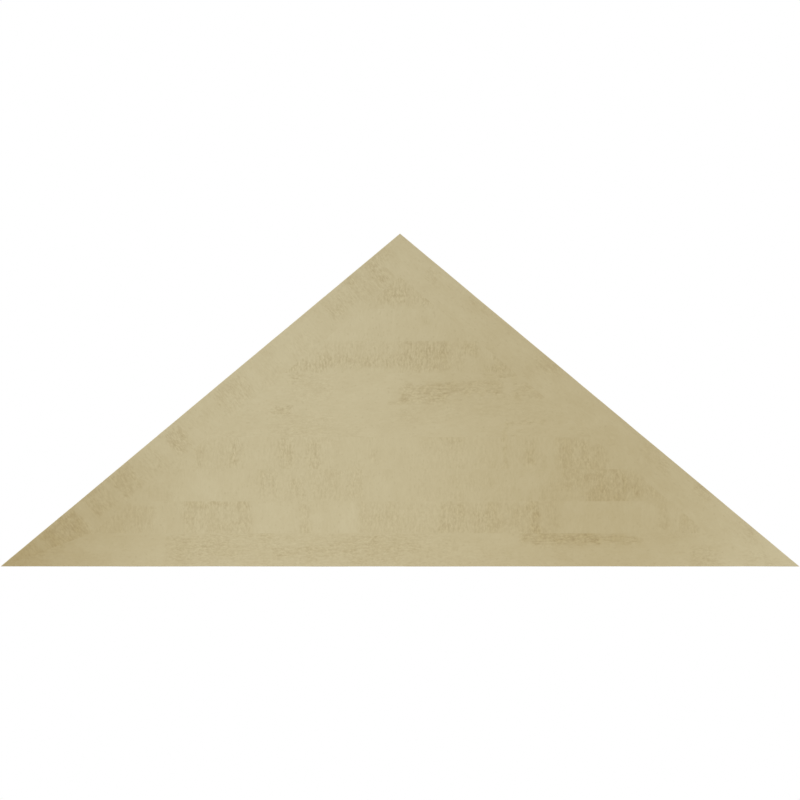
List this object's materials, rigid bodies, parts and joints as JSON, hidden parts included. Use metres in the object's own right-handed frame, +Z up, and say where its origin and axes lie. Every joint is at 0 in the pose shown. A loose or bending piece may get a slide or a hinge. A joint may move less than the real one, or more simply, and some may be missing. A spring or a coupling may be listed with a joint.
{
  "type": "gable vent",
  "caption": "Closed triangular gable vent: a flat-backed mitred frame of boards around level sloping slats, fixed flat against a wall under a pitched roof.",
  "frame": {"origin": "centre of the sill's flat back face", "axes": "+X along the sill, +Y out of the wall from the flat back to the weather side, +Z up to the apex"},
  "size_m": [1.2192, 0.0508, 0.5079],
  "materials": {
    "frame_boards": "matte",
    "slats": "matte"
  },
  "bodies": {
    "root": {"sill": "frame_boards", "left_rake": "frame_boards", "right_rake": "frame_boards", "slat_1": "slats", "slat_2": "slats", "slat_3": "slats", "slat_4": "slats", "slat_5": "slats", "slat_6": "slats", "slat_7": "slats", "slat_8": "slats"}
  },
  "joints": []
}
